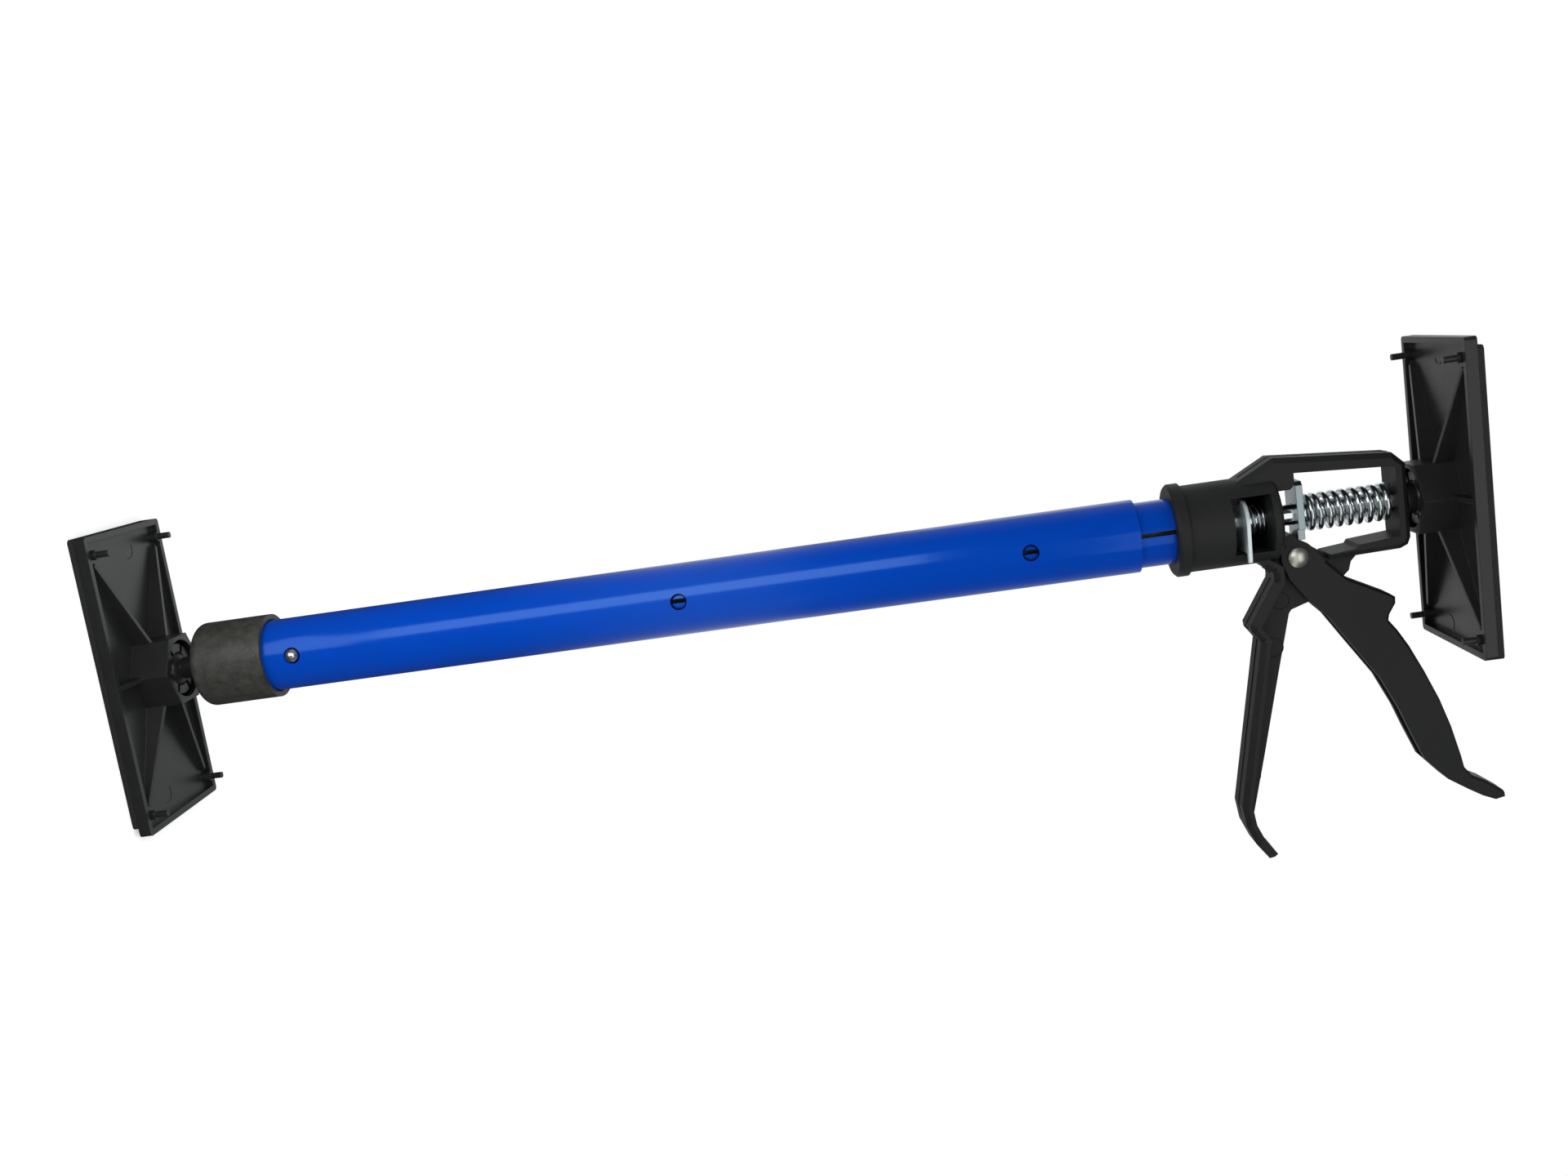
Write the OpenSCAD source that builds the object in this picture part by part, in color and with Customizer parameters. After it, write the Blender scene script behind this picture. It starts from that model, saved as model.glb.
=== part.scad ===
// Telescopic drywall support pole, standing on its foot pad.
// Z runs up the pole, +X is the side of the handle and trigger, the button side is -Y.

/* [Pads] */
// Length of a pad plate
pad_l = 117.4; // [100:0.2:150]
// Width of a pad plate
pad_w = 60; // [52:0.5:80]
// Height of a plate, from its back to the top of its rim
plate_h = 4.4; // [3.8:0.1:6]
// Thickness of the floor of a plate
floor_t = 2; // [1.5:0.1:2.6]
// Thickness of the rim round a plate
rim_t = 2.4; // [1.8:0.1:3.2]
// Corner radius of a plate
pad_corner_r = 1.6; // [0.8:0.1:4]
// Thickness of the grip sheet behind a plate
sheet_t = 2.1; // [1:0.1:4]
// Length by which a grip sheet stops short of one end of its plate
sheet_short = 3.4; // [0.5:0.1:6]
// Thickness of the ribs in a plate
rib_t = 1.8; // [1.2:0.1:2.6]
// Height of a rib above the rim, where it meets the block
rib_rise = 5; // [3:0.1:6]
// Diameter of a corner peg at its root
peg_d = 3.8; // [3:0.1:4.6]
// Height of a corner peg above the rim
peg_rise = 6; // [4:0.1:8]
// Distance of a corner peg from the two edges of its plate
peg_inset = [7.2, 5]; // [4:0.1:9]

/* [Ball joints] */
// Diameter of a ball
ball_d = 15.6; // [14:0.1:16.4]
// Gap between a ball and its socket
socket_gap = 0.25; // [0.15:0.05:0.4]
// Gap between a ball and the floor of its plate
ball_floor_gap = 0.7; // [0.4:0.1:1.2]
// Thickness of the socket's fingers
finger_t = 2; // [1.4:0.1:2.2]
// How far the fingers close over the ball, past its centre
finger_past = 4.5; // [3.5:0.1:5]
// Width of the slots between the fingers
finger_slot = 1.8; // [1:0.1:3]
// Number of fingers
fingers = 6; // [4:1:8]
// Width of the hexagonal block across its flats
block_flats = 26; // [25:0.2:28]
// Wall of the block round the fingers
block_wall = 1.6; // [1.2:0.1:2]
// How far the block stands past the centre of the ball
block_past = 6.2; // [5.4:0.1:6.8]
// Diameter of the neck of a ball
neck_d = 8.6; // [6:0.1:9]
// Diameter of the shank of the foot ball, in the end cap
shank_d = 6; // [4:0.1:8]

/* [End cap] */
// Outer diameter of the end cap
cap_d = 33; // [31.6:0.2:38]
// Length of the end cap
cap_l = 28.8; // [20:0.2:40]
// Thickness of the closed end of the cap
cap_floor = 3.2; // [2:0.1:5]
// Radius of the edge at the closed end
cap_edge_r = 3; // [1:0.1:4]
// Gap between the foot block and the end cap
cap_gap = 9.5; // [8:0.1:14]

/* [Tubes] */
// Outer diameter of the outer tube
outer_od = 28; // [26:0.1:29.4]
// Wall of the outer tube
outer_wall = 1.2; // [0.8:0.1:1.6]
// Length of the outer tube
outer_l = 364.6; // [360:0.2:420]
// Radial gap between the two tubes
tube_gap = 0.3; // [0.2:0.05:0.5]
// Wall of the inner tube
inner_wall = 1.2; // [0.8:0.1:1.6]
// Width of the open seam along the inner tube
seam_w = 1.7; // [0.8:0.1:2.5]
// Turn of the seam from the button side, in degrees
seam_turn = 6.5; // [0:0.5:20]
// Turn of the row of holes from the button side, in degrees
hole_turn = 5.3; // [0:0.1:20]
// Diameter of the holes in the outer tube
hole_d = 6.3; // [5.6:0.1:7.5]
// Height of the first hole above the lower end of the outer tube
first_hole = 37.3; // [30:0.1:60]
// Distance from the first hole to the second
hole_step_1 = 152.1; // [100:0.1:154]
// Distance of the last hole from the upper end of the outer tube
last_hole = 41.1; // [38:0.1:70]
// Length of the inner tube below the button
inner_tail = 28.8; // [24:0.1:29]
// Length of the inner tube that shows below the grip
tube_show = 13.2; // [4:0.1:40]

/* [Button] */
// Diameter of the button
button_d = 5.2; // [4:0.1:5.6]
// How far the button stands out of the outer tube
button_out = 2.4; // [1.5:0.1:3]
// Thickness of the button's foot inside the inner tube
button_foot_t = 1; // [0.6:0.1:1.6]
// Diameter of the button's foot
button_foot_d = 8; // [6.6:0.1:9]
// Thickness of the leaf spring behind the button
leaf_t = 0.6; // [0.4:0.1:1]
// Width of the leaf spring
leaf_w = 7; // [5:0.1:9]
// Length of the leaf spring below the button
leaf_l = 22; // [16:0.1:24]

/* [Grip sleeve] */
// Outer diameter of the sleeve
sleeve_d = 33.2; // [32.6:0.1:36]
// Length of the sleeve from its flange to the window's far edge
sleeve_l = 35.4; // [32:0.1:44]
// Diameter of the flange at the sleeve's mouth
flange_d = 35.6; // [34:0.1:40]
// Length of the flange
flange_l = 4.5; // [3:0.1:6]
// Length of the window in the sleeve
window_l = 14.5; // [14.3:0.1:18]
// Height of the window across the sleeve
window_h = 21.4; // [20:0.1:22]
// Bore round the lock plate, at the window
cavity_d = 23; // [22:0.1:24]
// Thickness of the shoulder that the inner tube meets
shoulder_t = 2.2; // [1.6:0.1:3.4]
// Thickness of the wall at the end of the sleeve
end_wall_t = 3.6; // [3:0.1:5]

/* [Grip frame] */
// Length of the opening in the frame
opening_l = 44; // [42:0.2:52]
// Thickness of the frame across the pole
frame_w = 15.6; // [14:0.1:17]
// Thickness of the wall at the head end
head_wall_t = 4.2; // [3.6:0.1:4.4]
// Distance of the top bar's outer face from the rod, at the sleeve and at the head
bar_out = [23, 18.9]; // [18:0.1:24]
// Distance of the top bar's inner face from the rod, at the sleeve and at the head
bar_in = [16.5, 13.9]; // [13:0.1:17]
// Distance of the lower bar's outer face from the rod, at the web and at the head
low_out = [18.1, 17.5]; // [17:0.1:19]
// Distance of the lower bar's inner face from the rod: bar, lip at its foot, lip at the head
low_in = [16, 13.7, 12.5]; // [11:0.1:16.4]
// Length of the lip on the lower bar
lip_l = 15.3; // [10:0.1:20]
// Length of the lower bar's solid part, back from the head wall
low_bar_l = 26.2; // [20:0.1:27]
// Height of the chamfer at the head end of the top bar
head_chamfer = 4.6; // [3:0.1:5.5]
// Width of the bevels along the frame and the handle
bevel_w = 1.9; // [0.6:0.1:2.2]
// Length of the block that the drive plate rests on
stop_l = 6.9; // [6.4:0.1:8]
// Distance of that block from the rod's axis
stop_in = 10.5; // [10:0.1:11.4]

/* [Handle and trigger] */
// Reach of the handle from the trigger's pivot
handle_l = 117; // [100:0.5:130]
// Depth of the broad strip along the handle's back
strip_t = 3.6; // [3:0.1:4.4]
// Thickness of the web in the middle of the handle
web_t = 4.8; // [4:0.1:5]
// Reach of the trigger from its pivot
trigger_l = 105; // [96:0.5:112]
// Distance of the trigger's pivot from the rod
pivot_x = 15.9; // [15.8:0.1:16.2]
// Height of the trigger's pivot above the end of the sleeve
pivot_rise = 6.6; // [6.6:0.1:7]
// Radius of the trigger's round end
trigger_end_r = 6.3; // [6:0.1:6.35]
// Thickness of one cheek of the trigger
cheek_t = 2.4; // [1.8:0.1:3]
// Gap between a cheek and the web
cheek_gap = 0.4; // [0.3:0.1:0.8]
// Thickness of the trigger's spine
spine_t = 2.4; // [1.8:0.1:3.2]
// Width of the bevels along the trigger
trigger_bevel = 0.9; // [0.3:0.1:1.2]
// Radius of the trigger's nose under the drive plate
nose_r = 2.5; // [1.8:0.1:2.6]
// Distance of the nose from the rod's axis
nose_x = 9.3; // [9:0.1:9.8]
// Travel of the trigger, in degrees
trigger_travel = 34; // [24:1:35]
// Diameter of the pivot rivet
rivet_d = 3.8; // [3:0.1:4.2]
// Diameter of the rivet's heads
rivet_head_d = 7.6; // [6:0.1:8.4]
// Height of the rivet's heads
rivet_head_h = 1.9; // [1.4:0.1:2.4]

/* [Rod and plates] */
// Diameter of the push rod
rod_d = 8; // [7:0.1:8.1]
// Height of the rod's lower end above the bottom of the foot pad
rod_foot_z = 92; // [90:0.5:110]
// Radial gap between the rod and the plates, walls and bush round it
rod_gap = 0.15; // [0.1:0.05:0.25]
// Length of the guide bush on the rod's lower end
guide_l = 8; // [6:0.1:12]
// Thickness of the drive plate
drive_t = 2.6; // [2:0.1:4]
// Width of the drive plate
drive_w = 14.4; // [12:0.1:19]
// Distance of the drive plate's two ends from the rod's axis: stop side, trigger side
drive_ends = [13, 5.3]; // [5:0.1:13.6]
// Width of the drive plate's tongue over the trigger's nose
drive_tongue_w = 11; // [6:0.1:12]
// Thickness of the lock plate
lock_t = 1.4; // [1:0.1:1.9]
// Width of the lock plate over its ears
lock_w = 30; // [29:0.1:32]
// Width between the ears, clear of the sleeve
lock_notch_w = 26.2; // [26:0.1:27]
// Distance of the lock plate's rounded edge from the rod
lock_back = 8.9; // [8.4:0.1:9.6]
// Reach of the ears on the handle's side
lock_ear = 13.6; // [12:0.1:14]
// Tilt of the lock plate at rest, in degrees
lock_tilt = 2; // [0:0.5:4.5]

/* [Springs] */
// Outer diameter of the return spring
return_od = 14.5; // [14:0.1:16]
// Wire of the return spring
return_wire = 2.2; // [1.4:0.1:2.4]
// Turns of the return spring
return_turns = 9.5; // [7.5:0.5:10.5]
// Outer diameter of the lock spring
lock_spring_od = 11.6; // [11.6:0.1:13]
// Wire of the lock spring
lock_wire = 1; // [0.7:0.1:1.1]
// Turns of the lock spring
lock_turns = 4; // [2.5:0.5:4]
// Extra pitch of the closed end turns, past the wire
end_turn_gap = 0.65; // [0.5:0.05:0.7]

/* [Hidden] */

$fn = 64;
// Overrun of every cut
over = 1;
// Gap between pieces that touch with no load
seat_gap = 0.3;
// Radial gap of a pushed fit between fixed pieces
fit_gap = 0.05;
// Radial gap between the rivet and the holes of the cheeks
rivet_gap = 0.1;

// Pads
pad_t = sheet_t + plate_h;
ball_r = ball_d / 2;
// Height of a ball's centre over the bottom of its pad
ball_z = sheet_t + floor_t + ball_floor_gap + ball_r;
block_z = ball_z + block_past;
finger_r = ball_r + socket_gap + finger_t;
ring_r = block_flats / 2 - block_wall;
// Length of the thick root of a peg above the rim
peg_step = peg_rise / 5;
// Diameter of a peg's thin end
peg_tip_d = peg_d * 0.66;

// End cap
cap_z = block_z + cap_gap;
tube_z = cap_z + cap_floor;
cap_wall = cap_d / 2 - outer_od / 2 - fit_gap;
// Thickness of the snap ring on the shank of the foot ball
snap_t = cap_floor / 2;

// Tubes
outer_r = outer_od / 2;
inner_r = outer_r - outer_wall - tube_gap;
inner_bore = inner_r - inner_wall;
outer_top = tube_z + outer_l;
button_z = tube_z + first_hole;
hole_z = [button_z, button_z + hole_step_1, outer_top - last_hole];
inner_z = button_z - inner_tail;

// Grip sleeve
sleeve_r = sleeve_d / 2;
sleeve_z = outer_top + tube_show;
window_top = sleeve_z + sleeve_l;
window_z = window_top - window_l;
shoulder_z = window_z - shoulder_t;
end_top = window_top + end_wall_t;
cavity_r = cavity_d / 2;
sleeve_edge = end_wall_t / 3;
flange_edge = flange_l / 5;

// Grip frame
opening_top = end_top + opening_l;
head_top = opening_top + head_wall_t;
// Radius of the rounded corner of the lower bar
low_corner = head_wall_t * 0.95;

// Handle and trigger
pivot_z = end_top + pivot_rise;
cheek_in = web_t / 2 + cheek_gap;
cheek_out = cheek_in + cheek_t;
rivet_r = rivet_d / 2;
// Radius that the trigger's inner edge sweeps in the handle's strip
pocket_r = trigger_l * 0.088 + seat_gap;

// Rod and plates
rod_r = rod_d / 2;
rod_hole_r = rod_r + rod_gap;
stop_top = end_top + stop_l;
stop_edge = stop_l / 4;
drive_z = stop_top + seat_gap;
nose_z = drive_z - seat_gap - nose_r;
// The tongue ends just short of the trigger's round end
drive_reach = pivot_x - trigger_end_r - seat_gap;
// Height of the rib that carries the lock plate's back edge
fulcrum_h = window_l * 0.31;
fulcrum_w = cavity_r / 2;
lock_z = window_z + fulcrum_h + seat_gap;
head_ball_z = head_top + seat_gap + ball_floor_gap + ball_r;
rod_top = head_ball_z + ball_r / 8;
head_pad_z = head_ball_z + ball_z;

// Springs
return_z = drive_z + drive_t + seat_gap;
return_len = opening_top - seat_gap - return_z;
lock_spring_z = lock_z + lock_t + seat_gap;
lock_spring_len = window_top - seat_gap - lock_spring_z;

// Outline of the handle as shares of its reach, from the pivot: along X, along Z
handle_back_shares = [
    [-0.016, -0.14], [0.016, -0.114], [0.037, -0.084], [0.064, -0.084], [0.203, -0.173],
    [0.222, -0.171], [0.26, -0.144], [0.811, -0.256], [0.882, -0.247], [0.948, -0.22],
    [1, -0.183]
];
// The front edge, from the tip up to the lower bar
handle_front_shares = [
    [0.992, -0.172], [0.945, -0.193], [0.901, -0.219], [0.875, -0.22], [0.655, -0.161],
    [0.379, -0.09], [0.185, -0.039], [0.173, -0.03], [0.154, 0.029], [0.129, 0.095],
    [0.068, 0.164], [0.04, 0.172], [0.023, 0.189], [0.018, 0.21]
];
// Outline of the trigger as shares of its reach, from the pivot: the edge facing the handle
trigger_inner_shares = [
    [0.02, -0.0566], [0.08, -0.035], [0.157, 0.019], [0.232, 0.089], [0.343, 0.161],
    [0.486, 0.255], [0.611, 0.313], [0.703, 0.347], [0.811, 0.39], [0.897, 0.466],
    [0.943, 0.533], [0.977, 0.587], [0.997, 0.632], [0.99, 0.665]
];
// The edge facing the head, from the round end to the toe
trigger_outer_shares = [
    [-0.038, 0.0466], [0.027, 0.099], [0.1, 0.168], [0.177, 0.311], [0.192, 0.331],
    [0.216, 0.33], [0.255, 0.305], [0.275, 0.301], [0.316, 0.33], [0.379, 0.366],
    [0.48, 0.413], [0.594, 0.46], [0.701, 0.494], [0.814, 0.521], [0.862, 0.53],
    [0.897, 0.556], [0.922, 0.602], [0.969, 0.664]
];
// Places in those lists where the spine starts and where the solid toe starts
spine_first = 3;
toe_outer = 13;
toe_inner = 8;

function from_pivot(shares, size) = [for (s = shares) [pivot_x + s[0] * size, pivot_z + s[1] * size]];
function reverse(list) = [for (i = [len(list) - 1:-1:0]) list[i]];
function part_of(list, first, last) = [for (i = [first:last]) list[i]];
function unit(v) = v / norm(v);
function left_of(v) = [-v[1], v[0]];

// The line that runs beside a line of points, at a distance on its left
function beside(points, distance) = [
    for (i = [0:len(points) - 1])
        let (before = left_of(unit(points[max(i, 1)] - points[max(i, 1) - 1])))
        let (after = left_of(unit(points[min(i + 1, len(points) - 1)] - points[min(i, len(points) - 2)])))
        points[i] + distance * (before + after) / (1 + before * after)
];

handle_back = from_pivot(handle_back_shares, handle_l);
handle_front = from_pivot(handle_front_shares, handle_l);
trigger_inner = from_pivot(trigger_inner_shares, trigger_l);
trigger_outer = from_pivot(trigger_outer_shares, trigger_l);

// A side outline, drawn in X and Z, given its thickness across the pole
module slab(points, width) {
    rotate([90, 0, 0])
        linear_extrude(height = width, center = true)
            polygon(points);
}

// A disc across the pole, centred at a point of the side view
module cross_disc(x, z, radius, width) {
    translate([x, 0, z])
        rotate([90, 0, 0])
            cylinder(r = radius, h = width, center = true);
}

// The cuts that bevel both long edges of a slab, along a line of its outline.
// Each cut runs past its edge's two ends by a share of the bevel, and every other one is a
// trace deeper, so that no four planes meet in one point.
module bevel_cuts(points, width, size, past) {
    for (i = [0:len(points) - 2]) {
        step = points[i + 1] - points[i];
        middle = (points[i] + points[i + 1]) / 2;
        depth = size * (i % 2 == 0 ? 1 : 1.02) * sqrt(2);
        for (side = [-1, 1])
            translate([middle[0], side * width / 2, middle[1]])
                rotate([0, -atan2(step[1], step[0]), 0])
                    rotate([45, 0, 0])
                        cube([norm(step) + 2 * size * past, depth, depth], center = true);
    }
}

// A rectangle with round corners, in the XY plane
module round_rect(l, w, r) {
    square([l - 2 * r, w], center = true);
    square([l, w - 2 * r], center = true);
    for (x = [-1, 1], y = [-1, 1])
        translate([x * (l / 2 - r), y * (w / 2 - r)])
            circle(r = r);
}

// The grip sheet of a pad, short at its +X end
module sheet() {
    translate([-sheet_short / 2, 0, 0])
        linear_extrude(height = sheet_t)
            round_rect(pad_l - sheet_short, pad_w, pad_corner_r);
}

module diagonal_rib() {
    foot = [block_flats / 2 - block_wall / 2, block_flats / 4];
    tip = [pad_l / 2 - peg_inset[0] - peg_d, pad_w / 2 - peg_inset[1]];
    run = norm(tip - foot);
    low = sheet_t + floor_t / 2;
    translate([foot[0], foot[1], 0])
        rotate([0, 0, atan2(tip[1] - foot[1], tip[0] - foot[0])])
            rotate([90, 0, 0])
                linear_extrude(height = rib_t, center = true)
                    polygon([[0, low], [run, low], [run, pad_t - rim_t / 4], [0, pad_t + rib_rise]]);
}

module corner_peg() {
    low = sheet_t + floor_t / 2;
    translate([0, 0, low])
        cylinder(d = peg_d, h = pad_t + peg_step - low);
    translate([0, 0, low])
        cylinder(d = peg_tip_d, h = pad_t + peg_rise - low);
}

// A pad plate with its socket, its back on the grip sheet
module pad_plate() {
    block_low = sheet_t + floor_t / 2;
    corner_r = block_flats / sqrt(3);
    difference() {
        union() {
            translate([0, 0, sheet_t])
                linear_extrude(height = floor_t)
                    round_rect(pad_l, pad_w, pad_corner_r);
            translate([0, 0, sheet_t])
                linear_extrude(height = plate_h)
                    difference() {
                        round_rect(pad_l, pad_w, pad_corner_r);
                        square([pad_l - 2 * rim_t, pad_w - 2 * rim_t], center = true);
                    }
            for (x = [0, 1], y = [0, 1])
                mirror([x, 0, 0])
                    mirror([0, y, 0])
                        diagonal_rib();
            // Short ribs from the block's corners to the long rims
            for (side = [0, 1])
                mirror([0, side, 0])
                    translate([0, corner_r - block_wall, block_low])
                        rotate([90, 0, 90])
                            linear_extrude(height = rib_t, center = true)
                                polygon([
                                    [0, 0],
                                    [pad_w / 2 - corner_r, 0],
                                    [pad_w / 2 - corner_r, pad_t - block_low],
                                    [0, pad_t + rib_rise / 2 - block_low]
                                ]);
            for (x = [-1, 1], y = [-1, 1])
                translate([x * (pad_l / 2 - peg_inset[0]), y * (pad_w / 2 - peg_inset[1]), 0])
                    corner_peg();
            translate([0, 0, block_low])
                rotate([0, 0, 30])
                    cylinder(r = corner_r, h = block_z - block_low, $fn = 6);
        }
        translate([0, 0, sheet_t + floor_t])
            cylinder(r = ring_r, h = block_z);
    }
    // The ring of fingers that closes over the ball
    difference() {
        translate([0, 0, block_low])
            cylinder(r = finger_r, h = ball_z + finger_past - block_low);
        translate([0, 0, ball_z])
            sphere(r = ball_r + socket_gap);
        for (i = [0:fingers - 1])
            rotate([0, 0, 360 / fingers * (i + 0.5)])
                translate([0, -finger_slot / 2, sheet_t + floor_t + ball_floor_gap])
                    cube([finger_r + over, finger_slot, block_z]);
    }
}

module foot_sheet() {
    color("dimgray")
        sheet();
}

module foot_plate() {
    color("black")
        pad_plate();
}

module foot_ball() {
    color("black") {
        translate([0, 0, ball_z])
            sphere(r = ball_r);
        translate([0, 0, ball_z])
            cylinder(d = neck_d, h = cap_z - seat_gap / 3 - ball_z);
        translate([0, 0, ball_z])
            cylinder(d = shank_d, h = tube_z + seat_gap / 3 + snap_t - ball_z);
        // The snap ring that holds the shank in the cap
        translate([0, 0, tube_z + seat_gap / 3])
            cylinder(d = (neck_d + shank_d) / 2, h = snap_t);
    }
}

module end_cap() {
    color("black")
        translate([0, 0, cap_z])
            difference() {
                rotate_extrude() {
                    translate([0, cap_edge_r])
                        square([cap_d / 2, cap_l - cap_edge_r]);
                    square([cap_d / 2 - cap_edge_r, cap_l]);
                    translate([cap_d / 2 - cap_edge_r, cap_edge_r])
                        circle(r = cap_edge_r);
                }
                translate([0, 0, cap_floor])
                    cylinder(r = outer_r + fit_gap, h = cap_l);
                translate([0, 0, -over])
                    cylinder(d = shank_d + seat_gap, h = cap_floor + 2 * over);
                // A small chamfer at the open end
                translate([0, 0, cap_l - cap_wall / 3])
                    cylinder(r1 = outer_r + fit_gap, r2 = outer_r + fit_gap + cap_wall / 2, h = cap_wall);
            }
}

module outer_tube() {
    color("royalblue")
        difference() {
            translate([0, 0, tube_z])
                cylinder(r = outer_r, h = outer_l);
            translate([0, 0, tube_z - over])
                cylinder(r = outer_r - outer_wall, h = outer_l + 2 * over);
            for (z = hole_z)
                translate([0, 0, z])
                    rotate([0, 0, -hole_turn])
                        rotate([90, 0, 0])
                            cylinder(d = hole_d, h = outer_od);
        }
}

module inner_tube() {
    length = shoulder_z - inner_z;
    color("royalblue")
        difference() {
            translate([0, 0, inner_z])
                cylinder(r = inner_r, h = length);
            translate([0, 0, inner_z - over])
                cylinder(r = inner_bore, h = length + 2 * over);
            rotate([0, 0, -seam_turn])
                translate([-seam_w / 2, -outer_od, inner_z - over])
                    cube([seam_w, outer_od, length + 2 * over]);
            translate([0, 0, button_z])
                rotate([0, 0, -hole_turn])
                    rotate([90, 0, 0])
                        cylinder(d = button_d + seat_gap, h = outer_od);
        }
}

// Things that lie along the button's own line, drawn along +Z and laid towards -Y
module toward_button() {
    translate([0, 0, button_z])
        rotate([0, 0, -hole_turn])
            rotate([90, 0, 0])
                children();
}

module button() {
    foot_top = inner_bore - seat_gap;
    dome_r = button_d / 2;
    color("silver")
        toward_button() {
            intersection() {
                translate([0, 0, foot_top - button_foot_t])
                    cylinder(d = button_foot_d, h = button_foot_t);
                // The foot is curved like the wall it lies behind
                rotate([90, 0, 0])
                    cylinder(r = foot_top, h = outer_od, center = true);
            }
            translate([0, 0, foot_top - button_foot_t])
                cylinder(d = button_d, h = outer_r + button_out - dome_r - foot_top + button_foot_t);
            translate([0, 0, outer_r + button_out - dome_r])
                sphere(r = dome_r);
        }
}

module button_spring() {
    // The top leg lies on the button's foot, the other on the far wall, and they meet below
    top = inner_bore - seat_gap - button_foot_t - seat_gap;
    far = sqrt(pow(inner_bore, 2) - pow(leaf_w / 2, 2)) - seat_gap;
    reach = button_foot_d / 2;
    bend = leaf_t * 3;
    color("lightsteelblue")
        toward_button()
            rotate([0, 90, 0])
                linear_extrude(height = leaf_w, center = true)
                    difference() {
                        polygon([
                            [-top, reach], [-top, -reach], [-bend, -leaf_l], [bend, -leaf_l],
                            [far, -reach], [far, reach]
                        ]);
                        polygon([
                            [leaf_t - top, reach + over], [leaf_t - top, -reach],
                            [leaf_t - bend, leaf_t - leaf_l], [bend - leaf_t, leaf_t - leaf_l],
                            [far - leaf_t, -reach], [far - leaf_t, reach + over]
                        ]);
                    }
}

module sleeve() {
    mouth = sleeve_z + flange_l;
    difference() {
        union() {
            translate([0, 0, mouth])
                cylinder(r = sleeve_r, h = end_top - sleeve_edge - mouth);
            translate([0, 0, end_top - sleeve_edge])
                cylinder(r1 = sleeve_r, r2 = sleeve_r - sleeve_edge, h = sleeve_edge);
            translate([0, 0, sleeve_z])
                cylinder(r1 = flange_d / 2 - flange_edge, r2 = flange_d / 2, h = flange_edge);
            translate([0, 0, sleeve_z + flange_edge])
                cylinder(d = flange_d, h = flange_l - flange_edge);
        }
        // The seat of the inner tube
        translate([0, 0, sleeve_z - over])
            cylinder(r = inner_r + fit_gap, h = shoulder_z - sleeve_z + over);
        translate([0, 0, sleeve_z - over])
            cylinder(r = rod_hole_r + rod_gap, h = window_z - sleeve_z + 2 * over);
        translate([0, 0, window_z])
            cylinder(r = cavity_r, h = window_l);
        // The window on the button side, and a slot for the lock plate on the far side
        translate([-window_h / 2, -sleeve_d, window_z])
            cube([window_h, sleeve_d, window_l]);
        translate([-window_h / 2, 0, window_z])
            cube([window_h, sleeve_d, window_l / 2]);
    }
    // The rib that carries the back edge of the lock plate
    intersection() {
        translate([0, 0, window_z - over / 2])
            cylinder(r = cavity_r + over / 2, h = fulcrum_h + over / 2);
        translate([-sleeve_d, -fulcrum_w, window_z - over])
            cube([sleeve_d - lock_back + lock_t, 2 * fulcrum_w, window_l]);
    }
}

// Side view of the frame: top bar, head wall and lower bar
function frame_outline() = [
    [-(cavity_r + sleeve_r) / 2 + over, window_z],
    [-(cavity_r + sleeve_r) / 2 + over / 2, window_z],
    [-bar_out[0], end_top],
    [-bar_out[1], head_top - head_chamfer],
    [head_chamfer - bar_out[1], head_top],
    [low_out[1] - low_corner, head_top],
    [low_out[1] - low_corner * 0.3, head_top - low_corner * 0.3],
    [low_out[1], head_top - low_corner],
    [low_out[0], opening_top - low_bar_l],
    [low_in[0], opening_top - low_bar_l],
    [low_in[0] - bevel_w / 2, opening_top - lip_l - bevel_w / 2],
    [low_in[1], opening_top - lip_l],
    [low_in[2], opening_top],
    [-bar_in[1], opening_top],
    [-bar_in[0], stop_top],
    [-stop_in - stop_edge, stop_top],
    [-stop_in, stop_top - stop_edge],
    [-stop_in, window_top + end_wall_t / 2],
    [-cavity_r - over / 2, window_top + end_wall_t / 2],
    [-cavity_r - over / 2, window_z]
];

// Side view of the web that joins the sleeve, the handle and the lower bar
function web_outline() = concat(
    handle_back,
    handle_front,
    [
        [low_in[0] + (low_out[0] - low_in[0]) / 3, opening_top - low_bar_l + lip_l - seat_gap],
        [low_in[0] + (low_out[0] - low_in[0]) / 3, opening_top - low_bar_l],
        [pivot_x - rivet_d * 0.76, pivot_z + trigger_end_r],
        [pivot_x - rivet_d * 0.76, end_top + rivet_d / 4],
        [(cavity_r + sleeve_r) / 2, end_top - end_wall_t / 3],
        [(cavity_r + sleeve_r) / 2, window_top - window_l / 3]
    ]
);

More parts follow.
